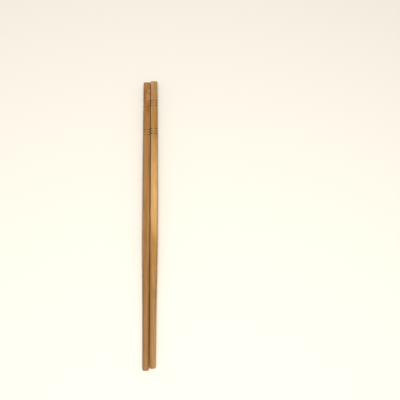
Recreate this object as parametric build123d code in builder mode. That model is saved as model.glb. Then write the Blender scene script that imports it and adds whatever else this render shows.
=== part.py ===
from build123d import *
import os
from math import asin, cos, degrees, radians, sin, tan

# A pair of bamboo chopsticks lying side by side, flat sides down, in millimetres.
# The origin is on the surface they lie on, under the middle of the pair.
# +Y runs along the sticks towards the handle ends, +X is to the right and +Z is up.

# Driving dimensions of one stick

stick_length = 240.0
handle_width = 6.0
long_edge_rounding = 0.8
handle_end_rounding = 0.7
tip_diameter = 4.6
tip_rounding = 0.9

# Below the handle the bar's four sides are planed to a taper, which would leave a square tip a little wider
# than the round one. The lower part is then turned into a round shank, a slow cone up to its shoulder.
# From there the tool leaves the wood along a long flare, so the four flats start as pointed tongues.

taper_length = 100.0
planed_clearance = 0.05
shank_length = 42.0
shoulder_diameter = 5.15
flare_length = 48.0
flare_clearance = 0.1

# Two bands of turned rings on the handle, each a sharp V groove that bites deeper into the bar's edges

first_ring_inset = 20.0
band_pitch = 27.6
band_count = 2
ring_pitch = 2.5
rings_per_band = 3
ring_depth_on_flat = 0.18
ring_side_angle = 30.0

# How the two sticks lie: axes a little closer together at the tips, and the right stick further up

tip_gap = 1.2
handle_gap = 0.6
right_stick_lead = 1.2

# One overrun for every tool that has to reach past the wood

overrun = 1.0

# Sizes that follow from these

half_width = handle_width / 2
tip_radius = tip_diameter / 2
shoulder_radius = shoulder_diameter / 2
clear_of_end = stick_length + overrun
planed_tip = tip_radius + planed_clearance
planed_end = planed_tip + (half_width - planed_tip) / taper_length * clear_of_end
edge_radius = (half_width - long_edge_rounding) * 2**0.5 + long_edge_rounding
flare_radius = edge_radius + flare_clearance
ring_floor_radius = half_width - ring_depth_on_flat
ring_reach = flare_radius - ring_floor_radius
ring_half_mouth = ring_reach * tan(radians(ring_side_angle))

# The tapered outline that each side of the bar is planed to, seen from above or from the side

planed_outline = ((planed_tip, 0), (planed_end, clear_of_end), (-planed_end, clear_of_end), (-planed_tip, 0))

# Spacing and lean of the two axes, and the length of the pair

tip_spacing = tip_diameter + tip_gap
handle_spacing = handle_width + handle_gap
lean = degrees(asin((handle_spacing - tip_spacing) / 2 / stick_length))
pair_length = stick_length * cos(radians(lean)) + right_stick_lead

# Places of the rings, measured along the stick from its tip

ring_places = []
for band in range(band_count):
    for ring in range(rings_per_band):
        ring_places.append(stick_length - first_ring_inset - band * band_pitch - ring * ring_pitch)

os.makedirs("parts", exist_ok=True)

for name, side, lead in (("left_chopstick", -1, 0), ("right_chopstick", 1, right_stick_lead)):

    # The stick's own planes: one across it at the tip, one level through its axis and one upright

    tip_centre = (side * tip_spacing / 2, lead - pair_length / 2, half_width)
    along = (side * sin(radians(lean)), cos(radians(lean)), 0)
    across = (cos(radians(lean)), -side * sin(radians(lean)), 0)
    tip_plane = Plane(origin=tip_centre, x_dir=across, z_dir=along)
    profile_plane = Plane(origin=tip_centre, x_dir=across, z_dir=(0, 0, 1))
    upright_plane = Plane(origin=tip_centre, x_dir=(0, 0, -1), z_dir=across)
    stick_axis = Axis(tip_centre, along)

    with BuildPart() as chopstick:

        # The square bar with its long edges rounded

        with BuildSketch(tip_plane):
            RectangleRounded(handle_width, handle_width, long_edge_rounding)
        extrude(amount=stick_length)

        # The handle end, eased all round

        handle_end = chopstick.faces().sort_by(stick_axis)[-1]
        fillet(handle_end.edges(), radius=handle_end_rounding)

        # The taper of the four sides, whose planes leave the wood where the handle starts

        for plane in (profile_plane, upright_plane):
            with BuildSketch(plane):
                Polygon(*planed_outline, align=None)
            extrude(amount=half_width + overrun, both=True, mode=Mode.INTERSECT)

        # The turned shank with its blunt tip, its cone and the flare that runs out through the flats

        with BuildSketch(profile_plane) as turned_profile:
            with BuildLine():
                tip_face = Line((0, 0), (tip_radius, 0))
                cone = Line(tip_face @ 1, (shoulder_radius, shank_length))
                flare_end = (flare_radius, shank_length + flare_length)
                flare = TangentArc(cone @ 1, flare_end, tangent=cone % 1)
                Polyline(flare @ 1, (flare_radius, clear_of_end), (0, clear_of_end), (0, 0))
            make_face()
            tip_corner = turned_profile.vertices().group_by(Axis.Y)[0].sort_by(Axis.X)[-1]
            fillet(tip_corner, radius=tip_rounding)
        revolve(axis=stick_axis, mode=Mode.INTERSECT)

        # The rings

        with BuildSketch(profile_plane):
            with Locations(*((ring_floor_radius, place) for place in ring_places)):
                Polygon((0, 0), (ring_reach, -ring_half_mouth), (ring_reach, ring_half_mouth), align=None)
        revolve(axis=stick_axis, mode=Mode.SUBTRACT)

    chopstick.part.label = name
    export_step(chopstick.part, f"parts/{name}.step")
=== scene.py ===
from math import asin, atan2, cos, pi, radians, sin, tan

import bpy
import numpy as np
from mathutils import Matrix, Vector


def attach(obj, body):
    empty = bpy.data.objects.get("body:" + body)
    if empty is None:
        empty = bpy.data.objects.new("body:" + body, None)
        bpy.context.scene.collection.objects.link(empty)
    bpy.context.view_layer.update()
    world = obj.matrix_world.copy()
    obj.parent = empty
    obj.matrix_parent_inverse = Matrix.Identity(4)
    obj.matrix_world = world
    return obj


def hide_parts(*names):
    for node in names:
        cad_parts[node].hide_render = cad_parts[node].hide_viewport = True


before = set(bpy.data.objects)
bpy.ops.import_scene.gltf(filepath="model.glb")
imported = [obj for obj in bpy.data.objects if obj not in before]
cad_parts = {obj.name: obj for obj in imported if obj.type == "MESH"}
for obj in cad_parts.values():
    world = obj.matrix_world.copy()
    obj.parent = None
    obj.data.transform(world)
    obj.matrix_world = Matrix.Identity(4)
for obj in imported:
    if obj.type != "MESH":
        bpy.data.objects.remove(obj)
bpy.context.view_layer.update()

# A pair of carbonised bamboo chopsticks on a cream floor, in metres, in the frame of the solids.

MM = 0.001

# Sizes of one stick

STICK_LENGTH = 240 * MM
HANDLE_WIDTH = 6.0 * MM
LONG_EDGE_ROUNDING = 0.8 * MM
HANDLE_END_ROUNDING = 0.7 * MM
TIP_DIAMETER = 4.6 * MM
TIP_ROUNDING = 0.9 * MM
TAPER_LENGTH = 100 * MM
PLANED_CLEARANCE = 0.05 * MM
SHANK_LENGTH = 42 * MM
SHOULDER_DIAMETER = 5.15 * MM
FLARE_LENGTH = 48 * MM
FLARE_CLEARANCE = 0.1 * MM
FIRST_RING_INSET = 20.0 * MM
BAND_PITCH = 27.6 * MM
BAND_COUNT = 2
RING_PITCH = 2.5 * MM
RINGS_PER_BAND = 3
RING_DEPTH_ON_FLAT = 0.18 * MM
RING_SIDE_ANGLE = radians(30)

half_width = HANDLE_WIDTH / 2
tip_radius = TIP_DIAMETER / 2
shoulder_radius = SHOULDER_DIAMETER / 2
planed_tip = tip_radius + PLANED_CLEARANCE
edge_radius = (half_width - LONG_EDGE_ROUNDING) * 2**0.5 + LONG_EDGE_ROUNDING
flare_radius = edge_radius + FLARE_CLEARANCE
ring_floor_radius = half_width - RING_DEPTH_ON_FLAT
taper = (shoulder_radius - tip_radius) / SHANK_LENGTH
ring_places = [
    STICK_LENGTH - FIRST_RING_INSET - band * BAND_PITCH - ring * RING_PITCH
    for band in range(BAND_COUNT)
    for ring in range(RINGS_PER_BAND)
]

# How the two sticks lie, and how far each departs from its straight line, as bamboo often does: the middle
# of the right one is bowed outwards, and the ends of both bend a little towards each other.

SIDES = {"left": -1, "right": 1}
TIP_GAP = 1.2 * MM
HANDLE_GAP = 0.6 * MM
RIGHT_STICK_LEAD = 1.2 * MM
LEADS = {"left": 0, "right": RIGHT_STICK_LEAD}
BOWS = {"left": 0, "right": 0.3 * MM}
TIP_PULLS = {"left": 0.34 * MM, "right": 0.55 * MM}
HANDLE_PULLS = {"left": 0.22 * MM, "right": 0.28 * MM}

tip_spacing = TIP_DIAMETER + TIP_GAP
handle_spacing = HANDLE_WIDTH + HANDLE_GAP
lean = asin((handle_spacing - tip_spacing) / 2 / STICK_LENGTH)
pair_length = STICK_LENGTH * cos(lean) + RIGHT_STICK_LEAD

# Fineness of the mesh, and how far its creases are rubbed off

FLAT_STEPS = 16
CORNER_STEPS = 8
ROUNDING_STEPS = 8
CAP_RINGS = 8
SHANK_STEP = 1.2 * MM
FLARE_STEP = 0.6 * MM
RING_STEP = 0.08 * MM
RING_ZONE = 0.88 * MM
EASING = 0.06 * MM

# Marks of the making: slow waves that the sander leaves, and a rough saw cut on the handle end

WAVE_DEPTH = 0.02 * MM
WAVE_LENGTHS = (61 * MM, 37 * MM, 17 * MM)
WAVE_PHASES = {"left": 0.7, "right": 2.1}
SAW_DEPTH = 0.03 * MM
SAW_SEEDS = {"left": 4, "right": 6}

# The skin unrolled for painting: strips of equal length side by side, and the two end faces beside them

MAP_SIDE = 84 * MM
MAP_MARGIN = 0.5 * MM
STRIPS = 3
strip_length = STICK_LENGTH / STRIPS


# The form of a stick, as the distance of its skin from its axis

def turned_radius(along):
    """How far from the axis the turning tool passes, along the shank and out along the flare."""
    cone = tip_radius + taper * along
    past = np.clip(along - SHANK_LENGTH, 0, None)
    rise = flare_radius - shoulder_radius - taper * FLARE_LENGTH
    flare = cone + rise * (past / FLARE_LENGTH) ** 2
    inset = TIP_ROUNDING - np.clip(along, 0, TIP_ROUNDING)
    rounding = TIP_ROUNDING - np.sqrt(np.clip(TIP_ROUNDING**2 - inset**2, 0, None))
    return np.minimum(flare, 2 * flare_radius) - rounding


def ring_radius(along):
    """How far from the axis the ring tool leaves wood, which is beyond the edges away from the rings."""
    nearest = np.min([np.abs(along - place) for place in ring_places], axis=0)
    return ring_floor_radius + nearest / tan(RING_SIDE_ANGLE)


def off_flat(angle):
    """The angle from the middle of the nearest flat."""
    return np.abs((angle + pi / 4) % (pi / 2) - pi / 4)


def planed_radius(angle, along):
    """The distance from the axis to the four sides that are planed to a taper towards the tip."""
    return (planed_tip + (half_width - planed_tip) * along / TAPER_LENGTH) / np.cos(off_flat(angle))


def bar_radius(angle, half, rounding):
    """The distance from the axis to the skin of a square bar with rounded long edges."""
    folded = off_flat(angle)
    centre = half - rounding
    across = centre * (np.cos(folded) + np.sin(folded))
    on_edge = across + np.sqrt(np.clip(across**2 - 2 * centre**2 + rounding**2, 0, None))
    return np.where(half * np.tan(folded) <= centre, half / np.cos(folded), on_edge)


def end_drop(along):
    """How far the rounding of the handle end draws the sides of the bar in."""
    inset = HANDLE_END_ROUNDING - np.clip(STICK_LENGTH - along, 0, HANDLE_END_ROUNDING)
    return HANDLE_END_ROUNDING - np.sqrt(np.clip(HANDLE_END_ROUNDING**2 - inset**2, 0, None))


def eased_least(a, b, easing):
    """The smaller of two distances, with the crease between them rubbed off."""
    share = np.clip(0.5 + 0.5 * (b - a) / easing, 0, 1)
    return b * (1 - share) + a * share - easing * share * (1 - share)


def wave(angle, along, phase):
    """Slow shallow waves, from nothing to their full depth."""
    total = 0
    for number, length in enumerate(WAVE_LENGTHS):
        total = total + np.sin(2 * pi * along / length + (number + 1) * phase + np.cos(angle + number))
    return WAVE_DEPTH * (0.5 + 0.5 * total / len(WAVE_LENGTHS))


def skin_radius(angle, along, phase):
    """The distance from the axis to the finished skin, and how far towards its floor a ring has cut there."""
    drop = end_drop(along)
    bar = bar_radius(angle, half_width - drop, LONG_EDGE_ROUNDING - drop)
    ringed = ring_radius(along)
    planed = eased_least(bar, planed_radius(angle, along), EASING)
    turned = np.minimum(turned_radius(along), ringed)
    skin = eased_least(planed, turned, EASING) - wave(angle, along, phase)
    cut = np.clip((bar - ringed) / (bar - ring_floor_radius), 0, 1)
    return skin, np.where(along < STICK_LENGTH - HANDLE_END_ROUNDING, cut, 0)


def across_fibres(along):
    """How squarely the skin cuts across the fibres: from fully at the rim of an end face to not at all."""
    return np.sqrt(np.clip(1 - (along / TIP_ROUNDING) ** 2, 0, 1)) + end_drop(along) / HANDLE_END_ROUNDING


def outwards(which, along):
    """How far a stick's axis lies outwards of its straight line: its bow, less the pull at its ends."""
    share = along / STICK_LENGTH
    bow = BOWS[which] * np.sin(pi * share) ** 2
    return bow - TIP_PULLS[which] * (1 - share) ** 2 - HANDLE_PULLS[which] * share**4


# The mesh of a stick

def spread(start, end, step):
    """Places from start up to but not including end, about step apart."""
    return list(np.linspace(start, end, max(1, round((end - start) / step)), endpoint=False))


def stations():
    """The places along a stick where its mesh has a ring of vertices, the ends of the strips among them."""
    quarter = [radians(90) * i / ROUNDING_STEPS for i in range(ROUNDING_STEPS)]
    places = [TIP_ROUNDING * (1 - cos(a)) for a in quarter]
    places += spread(TIP_ROUNDING, SHANK_LENGTH, SHANK_STEP)
    places += spread(SHANK_LENGTH, strip_length, FLARE_STEP)
    places += spread(strip_length, TAPER_LENGTH, FLARE_STEP)
    places += spread(TAPER_LENGTH, 2 * strip_length, SHANK_STEP)
    at = 2 * strip_length
    for place in sorted(ring_places):
        places += spread(at, place - RING_ZONE, SHANK_STEP)
        places += spread(place - RING_ZONE, place + RING_ZONE, RING_STEP)
        at = place + RING_ZONE
    places += spread(at, STICK_LENGTH - HANDLE_END_ROUNDING, SHANK_STEP)
    places += [STICK_LENGTH - HANDLE_END_ROUNDING * (1 - sin(a)) for a in quarter]
    return np.array(places + [STICK_LENGTH])


def directions():
    """The angles round a stick where its mesh has a line of vertices, closer together on the edges."""
    centre = half_width - LONG_EDGE_ROUNDING
    angles = []
    for side in range(4):
        for i in range(FLAT_STEPS):
            angles.append(side * pi / 2 + atan2(centre * (2 * i / FLAT_STEPS - 1), half_width))
        for i in range(CORNER_STEPS):
            turn = radians(90) * i / CORNER_STEPS
            out = LONG_EDGE_ROUNDING * cos(turn)
            up = LONG_EDGE_ROUNDING * sin(turn)
            angles.append(side * pi / 2 + atan2(centre + up, centre + out))
    return np.array(angles)


def end_points(rim, depth, random):
    """An end face inside its rim: smaller and smaller copies of the rim, unevenly deep, then the middle."""
    points = []
    for i in range(1, CAP_RINGS):
        ring = rim * (1 - i / CAP_RINGS, 1, 1 - i / CAP_RINGS)
        ring[:, 1] += depth * random.random(len(rim))
        points.append(ring)
    points.append(np.array([[0, rim[0, 1], 0]]))
    return np.concatenate(points)


def placed(points, which):
    """The points of a straight stick bent a little and moved to where the stick lies."""
    side = SIDES[which]
    bent = points.copy()
    bent[:, 0] += side * outwards(which, points[:, 1])
    tip = np.array((side * tip_spacing / 2, LEADS[which] - pair_length / 2, half_width))
    return bent @ np.array(Matrix.Rotation(side * lean, 3, "Z")) + tip


def skin_faces(along, round_it):
    """Faces between neighbouring rings of the skin, with the places of their corners on the unrolled map."""
    lines = len(round_it) - 1
    strip_width = round_it[-1] + 2 * MAP_MARGIN
    faces, places = [], []
    for i, (start, stop) in enumerate(zip(along, along[1:])):
        strip = min(int((start + stop) / 2 / strip_length), STRIPS - 1)
        low = MAP_MARGIN + start - strip * strip_length
        high = MAP_MARGIN + stop - strip * strip_length
        for j in range(lines):
            k = (j + 1) % lines
            left, right = (strip * strip_width + MAP_MARGIN + round_it[m] for m in (j, j + 1))
            faces.append((i * lines + j, (i + 1) * lines + j, (i + 1) * lines + k, i * lines + k))
            places += [(left, low), (left, high), (right, high), (right, low)]
    return faces, places


def end_faces(rim, first, lines, order, points, middle):
    """Faces of an end from its rim inwards, with the places of their corners round a middle on the map."""
    circles = [rim] + [first + i * lines for i in range(CAP_RINGS - 1)]
    centre = first + (CAP_RINGS - 1) * lines
    found = []
    for outer, inner in zip(circles, circles[1:]):
        for j in range(lines):
            k = (j + 1) % lines
            found.append((outer + j, outer + k, inner + k, inner + j))
    found += [(circles[-1] + j, circles[-1] + (j + 1) % lines, centre) for j in range(lines)]
    faces = [face[::order] for face in found]
    places = [(middle[0] + points[v][0], middle[1] + points[v][2]) for face in faces for v in face]
    return faces, places


def stick_mesh(which):
    """A stick in its place, whose points also keep their places in the straight stick as an attribute."""
    random = np.random.default_rng(SAW_SEEDS[which])
    along = stations()
    angle = directions()
    skin, cut = skin_radius(angle[None, :], along[:, None], WAVE_PHASES[which])
    rings, lines = skin.shape

    # The skin, then both end faces

    level = along[:, None] + 0 * skin
    points = [np.stack([skin * np.cos(angle), level, skin * np.sin(angle)], axis=-1).reshape(-1, 3)]
    tip_rim, handle_rim = points[0][:lines], points[0][-lines:]
    points.append(end_points(tip_rim, 0, random))
    points.append(end_points(handle_rim, -SAW_DEPTH, random))
    on_ends = len(points[1]) + len(points[2])
    groove = np.concatenate([cut.reshape(-1), np.zeros(on_ends)])
    end = np.concatenate([across_fibres(level).reshape(-1), np.ones(on_ends)])
    points = np.concatenate(points)

    # Faces, each with its corners' places on the unrolled map

    middle_ring = np.stack([skin[rings // 2] * np.cos(angle), skin[rings // 2] * np.sin(angle)], axis=-1)
    steps = np.linalg.norm(np.roll(middle_ring, -1, axis=0) - middle_ring, axis=1)
    round_it = np.concatenate([[0], np.cumsum(steps)])
    faces, places = skin_faces(along, round_it)
    beside_strips = STRIPS * (round_it[-1] + 2 * MAP_MARGIN) + MAP_MARGIN + half_width
    first = rings * lines
    for number, (rim, order) in enumerate(((0, 1), (first - lines, -1))):
        middle = (beside_strips, (2 * number + 1) * (half_width + MAP_MARGIN))
        more_faces, more_places = end_faces(rim, first, lines, order, points, middle)
        faces += more_faces
        places += more_places
        first += (CAP_RINGS - 1) * lines + 1

    mesh = bpy.data.meshes.new(f"{which}_chopstick_wood")
    mesh.from_pydata(placed(points, which), [], faces)
    mesh.polygons.foreach_set("use_smooth", [True] * len(faces))
    unrolled = mesh.uv_layers.new(name="OFBake")
    unrolled.data.foreach_set("uv", (np.array(places) / MAP_SIDE).reshape(-1))
    for label, values in (("groove", groove), ("end", end)):
        mesh.attributes.new(label, "FLOAT", "POINT").data.foreach_set("value", values)
    mesh.attributes.new("place", "FLOAT_VECTOR", "POINT").data.foreach_set("vector", points.reshape(-1))
    mesh.validate()
    return mesh


# Nodes for the material. A value is a number, a colour or another node's output.

def add(tree, kind, inputs, **settings):
    """A new node with its settings made and its inputs set or linked."""
    new = tree.nodes.new(kind)
    for name, value in settings.items():
        setattr(new, name, value)
    for name, value in inputs.items():
        if isinstance(value, bpy.types.NodeSocket):
            tree.links.new(value, new.inputs[name])
        else:
            new.inputs[name].default_value = value
    return new


def attribute(tree, name, output):
    """A value that the mesh keeps at its points."""
    return add(tree, "ShaderNodeAttribute", {}, attribute_name=name).outputs[output]


def calculate(tree, operation, *values):
    """The result of one operation on numbers."""
    return add(tree, "ShaderNodeMath", dict(enumerate(values)), operation=operation).outputs[0]


def combine(tree, operation, first, second):
    """Two vectors added, subtracted, multiplied or divided."""
    return add(tree, "ShaderNodeVectorMath", {0: first, 1: second}, operation=operation).outputs[0]


def noise(tree, point, across, along, detail):
    """Noise with so many waves to a millimetre across the fibres and along them."""
    where = combine(tree, "MULTIPLY", point, (across / MM, along / MM, across / MM))
    return add(tree, "ShaderNodeTexNoise", {"Vector": where, "Scale": 1, "Detail": detail}).outputs[0]


def cells(tree, point, across, along):
    """The distance from the middle of the nearest of many cells strewn at random, so many to a millimetre."""
    where = combine(tree, "MULTIPLY", point, (across / MM, along / MM, across / MM))
    return add(tree, "ShaderNodeTexVoronoi", {"Vector": where, "Scale": 1}).outputs["Distance"]


def remap(tree, value, low, high, new_low, new_high):
    """The value carried smoothly from one range to another, and held at its ends."""
    inputs = {"Value": value, "From Min": low, "From Max": high, "To Min": new_low, "To Max": new_high}
    return add(tree, "ShaderNodeMapRange", inputs, interpolation_type="SMOOTHSTEP").outputs[0]


def blend(tree, share, first, second, how="MIX"):
    """Two colours blended by a share."""
    inputs = {0: share, 6: first, 7: second}
    return add(tree, "ShaderNodeMix", inputs, data_type="RGBA", blend_type=how).outputs[2]


# Colours of bamboo

DARK_FIBRE = (0.115, 0.045, 0.012, 1)
RING_DARK = (0.10, 0.037, 0.009, 1)
CUT_END = (0.20, 0.088, 0.026, 1)
PALE_CORE = (0.46, 0.24, 0.08, 1)
# A dark brown for blotches and the rims of the joint, also used as painted shade on the long edges, the outer
# flanks and the inner edges
DARK_MARK_AND_SHADE = (0.19, 0.075, 0.017, 1)
DARK_RED = (0.25, 0.085, 0.03, 1)
AMBER = (0.24, 0.1, 0.012, 1)
WARM_GREEN = 0.1
WARM_BLUE = 0.38

# Its patterns, each with so many waves or cells to a millimetre across the fibres and along them. The noises
# also have their octaves of detail.

DRIFT = (0.05, 0.02, 1)
WANDER = 1.6 * MM
BANDS = (0.42, 0.011, 3)
STREAKS = (2.4, 0.035, 4)
THREADS = (8.0, 0.12, 2)
BLOTCHES = (0.16, 0.05, 3)
PATCHES = (0.35, 0.35, 1)
BUNDLES = (1.7, 0.045)
FINE_BUNDLES = (3.6, 0.09)
NOISE_MEAN = 0.5

# The range in which each pattern shows, and the share of its colour that it lays on. Bundles are thinner on
# the inside of the cane than on its outside.

BAND_RANGE = (0.35, 0.65)
STREAK_RANGE = (0.30, 0.70)
STREAK_SHARE = 0.34
THREAD_RANGE = (0.56, 0.74)
THREAD_SHARE = 0.20
BLOTCH_RANGE = (0.50, 0.72)
BLOTCH_SHARE = 0.22
BUNDLE_SIZES = (0.16, 0.34)
BUNDLE_RIM = (-0.10, 0.10)
BUNDLE_SHARE = 0.30
FINE_BUNDLE_RIM = (0.10, 0.30)
FINE_BUNDLE_SHARE = 0.16

# The painted shade on the long edges and the outer flank, the rims of the ovals, the darker ring cuts and the
# cut ends

EDGE_SHADE_START = 0.84 * half_width
EDGE_SHADE_SHARE = 0.5
FLANK_SHADE_START = 0.5 * half_width
OVAL_RIM = (0.6, 1.1)
OVAL_WOBBLE = 0.2
PATCH_REACH = 2 * HANDLE_WIDTH
RING_DARK_RANGE = (0, 0.7)
END_RANGE = (0.1, 1)
END_SHARE = 0.45

# Its finish and relief

SHEEN = 0.2
ROUGHNESSES = (0.56, 0.44)
DULLING = 0.25
THREAD_RELIEF_SHARE = 0.6
BUNDLE_RELIEF_SHARE = 0.5
RELIEF_STRENGTH = 0.6
RELIEF_DEPTH = 0.03 * MM


def wandering(tree, point):
    """The point moved sideways a little, so that fibres that follow it aren't quite straight."""
    drift = noise(tree, point, *DRIFT)
    sway = calculate(tree, "MULTIPLY", calculate(tree, "SUBTRACT", drift, NOISE_MEAN), WANDER)
    return combine(tree, "ADD", point, add(tree, "ShaderNodeCombineXYZ", {0: sway}).outputs[0])


def dark_bundles(tree, point, grain, dense_side):
    """Dark bundles of fibres, thicker towards the side that was the outside of the cane."""
    toward = add(tree, "ShaderNodeVectorMath", {0: point, 1: dense_side}, operation="DOT_PRODUCT")
    thickness = remap(tree, toward.outputs["Value"], -half_width, half_width, *BUNDLE_SIZES)
    inside = calculate(tree, "SUBTRACT", thickness, cells(tree, grain, *BUNDLES))
    return remap(tree, inside, *BUNDLE_RIM, 0, 1)


def fibre_colour(tree, own, grain, pale, deep, streaks, threads, bundles):
    """Pale and deep bands with dark streaks and bundles, pale threads and a few darker blotches."""
    colour = blend(tree, remap(tree, noise(tree, grain, *BANDS), *BAND_RANGE, 0, 1), (*deep, 1), (*pale, 1))
    colour = blend(tree, remap(tree, streaks, *STREAK_RANGE, STREAK_SHARE, 0), colour, DARK_FIBRE)
    colour = blend(tree, calculate(tree, "MULTIPLY", bundles, BUNDLE_SHARE), colour, DARK_FIBRE)
    fine_bundles = remap(tree, cells(tree, grain, *FINE_BUNDLES), *FINE_BUNDLE_RIM, 1, 0)
    colour = blend(tree, calculate(tree, "MULTIPLY", fine_bundles, FINE_BUNDLE_SHARE), colour, DARK_FIBRE)
    colour = blend(tree, remap(tree, threads, *THREAD_RANGE, 0, THREAD_SHARE), colour, PALE_CORE)
    blotches = noise(tree, own, *BLOTCHES)
    return blend(tree, remap(tree, blotches, *BLOTCH_RANGE, 0, BLOTCH_SHARE), colour, DARK_MARK_AND_SHADE)


def edge_and_flank_shade(tree, colour, across, along, side, on_shank, on_handle):
    """The colour darkened by painted shade on both long edges, and on one flank by shares for the shank and
    the handle.
    """
    edge_shade = remap(tree, calculate(tree, "ABSOLUTE", across), EDGE_SHADE_START, half_width, 0, EDGE_SHADE_SHARE)
    colour = blend(tree, edge_shade, colour, DARK_MARK_AND_SHADE)
    flank_shade = remap(tree, calculate(tree, "MULTIPLY", across, side), FLANK_SHADE_START, half_width, 0, 1)
    share = remap(tree, along, SHANK_LENGTH, TAPER_LENGTH, on_shank, on_handle)
    return blend(tree, calculate(tree, "MULTIPLY", flank_shade, share), colour, DARK_MARK_AND_SHADE)


def toned(tree, colour, along, tones):
    """The colour made lighter, darker or warmer along the stick, by stops of place, brightness, warmth."""
    tone = add(tree, "ShaderNodeValToRGB", {0: calculate(tree, "DIVIDE", along, STICK_LENGTH)})
    tone.color_ramp.interpolation = "B_SPLINE"
    for place, _, _ in tones[1:-1]:
        tone.color_ramp.elements.new(place)
    for stop, (place, value, warmth) in zip(tone.color_ramp.elements, tones):
        stop.position = place
        stop.color = (value, value * (1 - WARM_GREEN * warmth), value * (1 - WARM_BLUE * warmth), 1)
    return blend(tree, 1, colour, tone.outputs[0], "MULTIPLY")


def with_oval_mark(tree, colour, point, streaks, middle, sizes, share, tint):
    """The colour with an oval in it, a figure of the wood or painted shade, whose rim is made uneven by the
    streaks.
    """
    apart = combine(tree, "DIVIDE", combine(tree, "SUBTRACT", point, middle), sizes)
    length = add(tree, "ShaderNodeVectorMath", {0: apart}, operation="LENGTH").outputs["Value"]
    wobble = remap(tree, streaks, *STREAK_RANGE, -OVAL_WOBBLE, OVAL_WOBBLE)
    away = calculate(tree, "ADD", length, wobble)
    return blend(tree, remap(tree, away, *OVAL_RIM, share, 0), colour, tint)


def darkened_rings(tree, colour, own, across, groove, shares):
    """The colour darker in the ring cuts, the more so where they cut deeper, by shares for the left and right
    sides of the stick, in uneven patches.
    """
    patchy = calculate(tree, "SUBTRACT", noise(tree, own, *PATCHES), NOISE_MEAN)
    aside = calculate(tree, "ADD", across, calculate(tree, "MULTIPLY", patchy, PATCH_REACH))
    uneven = remap(tree, aside, -half_width, half_width, *shares)
    darkened = calculate(tree, "MULTIPLY", remap(tree, groove, *RING_DARK_RANGE, 0, 1), uneven)
    return blend(tree, darkened, colour, RING_DARK)


def bamboo(name, pale, deep, shift, dense_side, flank_shade, tones, ring_darkening, figures_and_shade):
    """Carbonised bamboo: long fibres in streaks, dark bundles among them, darker ring cuts, painted shade on
    the edges and dotted ends.
    """
    material = bpy.data.materials.new(name)
    material.use_nodes = True
    tree = material.node_tree
    shader = tree.nodes["Principled BSDF"]
    point = attribute(tree, "place", "Vector")
    groove = attribute(tree, "groove", "Fac")
    end = attribute(tree, "end", "Fac")
    across, along, _ = add(tree, "ShaderNodeSeparateXYZ", {0: point}).outputs

    # Patterns that follow the fibres, from a place of the stick's own in the noise

    own = combine(tree, "ADD", point, shift)
    grain = wandering(tree, own)
    streaks = noise(tree, grain, *STREAKS)
    threads = noise(tree, grain, *THREADS)
    bundles = dark_bundles(tree, point, grain, dense_side)

    # Colour

    colour = fibre_colour(tree, own, grain, pale, deep, streaks, threads, bundles)
    # Painted shade on both long edges and on one outer flank
    colour = edge_and_flank_shade(tree, colour, across, along, *flank_shade)
    colour = toned(tree, colour, along, tones)
    # Figures of the wood, and ovals of painted shade on the inner edges
    for oval in figures_and_shade:
        colour = with_oval_mark(tree, colour, point, streaks, *oval)
    # The ring cuts darker, the more so where they cut deeper
    colour = darkened_rings(tree, colour, own, across, groove, ring_darkening)
    colour = blend(tree, remap(tree, end, *END_RANGE, 0, END_SHARE), colour, CUT_END)
    tree.links.new(colour, shader.inputs["Base Color"])
    shader.inputs["Specular IOR Level"].default_value = SHEEN

    # Satin finish, duller in the rings and on the cut ends

    worn = remap(tree, streaks, *STREAK_RANGE, *ROUGHNESSES)
    dull = calculate(tree, "MAXIMUM", groove, end)
    rough = calculate(tree, "ADD", worn, calculate(tree, "MULTIPLY", dull, DULLING))
    tree.links.new(rough, shader.inputs["Roughness"])

    # Relief: raised threads, sunken bundles and slow streaks

    raised = calculate(tree, "MULTIPLY", threads, THREAD_RELIEF_SHARE)
    sunken = calculate(tree, "MULTIPLY", bundles, BUNDLE_RELIEF_SHARE)
    relief = calculate(tree, "ADD", calculate(tree, "SUBTRACT", raised, sunken), streaks)
    inputs = {"Height": relief, "Strength": RELIEF_STRENGTH, "Distance": RELIEF_DEPTH}
    tree.links.new(add(tree, "ShaderNodeBump", inputs).outputs[0], shader.inputs["Normal"])
    return material


# Ovals on the wood: the middle of an oval across, along and up the stick, half its sizes, how strongly it
# shows, and its colour. The left stick has a joint of the cane near its handle end, with a dark red edge
# beside it, and a pale patch and a stain on the tip's side of it. The inner edges of both sticks get painted
# shade where the shank becomes the handle, and the right one's again near the handle end: shade between the
# sticks.

def oval_mark(middle, sizes, share, tint):
    """An oval, a figure of the wood or painted shade, from places and sizes in millimetres."""
    return [value * MM for value in middle], [value * MM for value in sizes], share, tint


JOINT_RIM = oval_mark((1.3, 230.6, 2.6), (2.6, 2.6, 2.6), 0.8, DARK_MARK_AND_SHADE)
JOINT_CORE = oval_mark((1.5, 230.8, 2.8), (1.8, 2.0, 2.6), 0.75, PALE_CORE)
JOINT_SPOT = oval_mark((2.6, 228.2, 2.4), (1.0, 0.9, 2.0), 0.6, DARK_MARK_AND_SHADE)
JOINT_EDGE = oval_mark((-2.9, 226.0, 2.4), (2.1, 9.0, 2.6), 0.9, DARK_RED)
JOINT_PALE = oval_mark((1.1, 224.5, 2.8), (1.7, 5.0, 2.6), 0.55, PALE_CORE)
JOINT_STAIN = oval_mark((1.0, 211.9, 3.0), (2.7, 3.8, 2.6), 0.7, AMBER)
# Painted shade on the inner edges, where the two sticks face each other
LEFT_INNER_SHADE = oval_mark((2.9, 88, 2.4), (1.1, 24, 2.6), 0.4, DARK_MARK_AND_SHADE)
RIGHT_INNER_SHADE = oval_mark((-2.9, 90, 2.4), (1.3, 24, 2.6), 0.6, DARK_MARK_AND_SHADE)
RIGHT_TOP_INNER_SHADE = oval_mark((-2.9, 228.0, 2.4), (1.3, 12.0, 2.6), 0.38, DARK_MARK_AND_SHADE)

# The looks of the two sticks. The left one is browner and the right one more golden. Each also has its place
# in the noise, the side that was the outside of the cane, the side of its flank with painted shade, with
# shares for the shank and the handle, and how much its ring cuts are darkened at its left and at its right.

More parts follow.
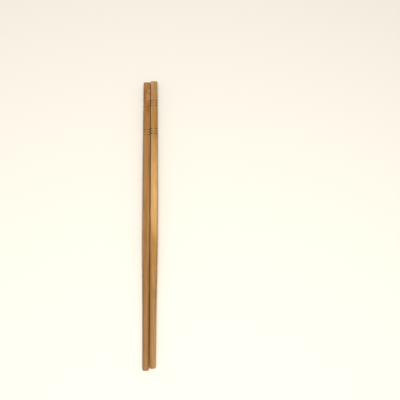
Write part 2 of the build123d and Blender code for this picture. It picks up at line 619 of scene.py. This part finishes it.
LEFT_BAMBOO = {
    "pale": (0.5, 0.25, 0.077),
    "deep": (0.375, 0.174, 0.05),
    "shift": (0, 0, 0),
    "dense_side": (0.6, 0, -0.8),
    "flank_shade": (-1, 0.4, 0),
    "tones": (
        (0, 0.88, 0), (0.15, 0.84, 0), (0.3, 0.87, 0), (0.42, 0.8, 0.4),
        (0.7, 0.87, -0.1), (0.88, 0.83, 0.5), (1, 0.98, -0.2),
    ),
    "ring_darkening": (0.1, 0.7),
    "figures_and_shade": (JOINT_RIM, JOINT_CORE, JOINT_PALE, JOINT_SPOT, JOINT_EDGE, JOINT_STAIN, LEFT_INNER_SHADE),
}
RIGHT_BAMBOO = {
    "pale": (0.78, 0.445, 0.158),
    "deep": (0.618, 0.322, 0.098),
    "shift": (0.146, -0.089, -0.034),
    "dense_side": (0.8, 0, -0.6),
    "flank_shade": (1, 0, 0.5),
    "tones": (
        (0, 0.66, 0), (0.15, 0.67, 0), (0.28, 0.64, 0.4), (0.36, 0.67, 0.9), (0.41, 0.84, 0.6),
        (0.46, 1.08, 0), (0.68, 0.86, -0.1), (0.76, 0.76, 0.4), (0.88, 0.66, 0.7), (1, 0.77, -0.6),
    ),
    "ring_darkening": (0.75, 0.8),
    "figures_and_shade": (RIGHT_INNER_SHADE, RIGHT_TOP_INNER_SHADE),
}

for which, look in (("left", LEFT_BAMBOO), ("right", RIGHT_BAMBOO)):
    mesh = stick_mesh(which)
    mesh.materials.append(bamboo(f"{which}_bamboo", **look))
    stick = bpy.data.objects.new(f"{which}_chopstick_wood", mesh)
    bpy.context.scene.collection.objects.link(stick)
    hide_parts(f"{which}_chopstick")
    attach(stick, "root")


# Floor and light

FLOOR_SIZE = 12.0
FLOOR_CREAM = (0.84, 0.79, 0.69, 1)
FLOOR_ROUGHNESS = 0.9
SKY_WHITE = (1, 1, 1, 1)
SKY_STRENGTH = 0.6
LAMP_SIZE = 0.15
LEFT_LAMP_PLACE = (-0.16, -0.3, 0.88)
LEFT_LAMP_POWER = 2.2
RIGHT_LAMP_PLACE = (0.15, -0.3, 0.88)
RIGHT_LAMP_POWER = 4.1

bpy.ops.mesh.primitive_plane_add(size=FLOOR_SIZE)
floor = bpy.context.object
floor.name = "floor"
cream = bpy.data.materials.new("floor_cream")
cream.use_nodes = True
cream.node_tree.nodes["Principled BSDF"].inputs["Base Color"].default_value = FLOOR_CREAM
cream.node_tree.nodes["Principled BSDF"].inputs["Roughness"].default_value = FLOOR_ROUGHNESS
floor.data.materials.append(cream)

world = bpy.data.worlds.new("studio")
bpy.context.scene.world = world
world.use_nodes = True
world.node_tree.nodes["Background"].inputs["Color"].default_value = SKY_WHITE
world.node_tree.nodes["Background"].inputs["Strength"].default_value = SKY_STRENGTH


def softbox(name, place, power):
    """A square area light that faces the middle of the pair."""
    light = bpy.data.lights.new(name, "AREA")
    light.size = LAMP_SIZE
    light.energy = power
    lamp = bpy.data.objects.new(name, light)
    bpy.context.scene.collection.objects.link(lamp)
    lamp.location = place
    lamp.rotation_euler = (-Vector(place)).to_track_quat("-Z", "Y").to_euler()


softbox("left_light", LEFT_LAMP_PLACE, LEFT_LAMP_POWER)
softbox("right_light", RIGHT_LAMP_PLACE, RIGHT_LAMP_POWER)

# Camera, above the tips and tilted towards the handles, where the photograph was taken from

PHOTO_SIDE_PX = 400
FOCAL_LENGTH_PX = 400
SENSOR_MM = 36
NEAREST_VIEW = 10 * MM
VIEW_PLACE = Vector((15.0, -94.75, 316.8)) * MM
VIEW_AIM = Vector((41.3, 9.25, 0)) * MM
VIEW_ROLL = radians(-2.04)

camera = bpy.data.cameras.new("camera")
camera.sensor_width = SENSOR_MM
camera.lens = SENSOR_MM * FOCAL_LENGTH_PX / PHOTO_SIDE_PX
camera.clip_start = NEAREST_VIEW
back = (VIEW_PLACE - VIEW_AIM).normalized()
right = Vector((0, 1, 0)).cross(back).normalized()
level = Matrix((right, back.cross(right), back)).transposed().to_4x4()
viewer = bpy.data.objects.new("camera", camera)
bpy.context.scene.collection.objects.link(viewer)
viewer.matrix_world = Matrix.Translation(VIEW_PLACE) @ level @ Matrix.Rotation(VIEW_ROLL, 4, "Z")
bpy.context.scene.camera = viewer
bpy.context.scene.view_settings.view_transform = "Standard"
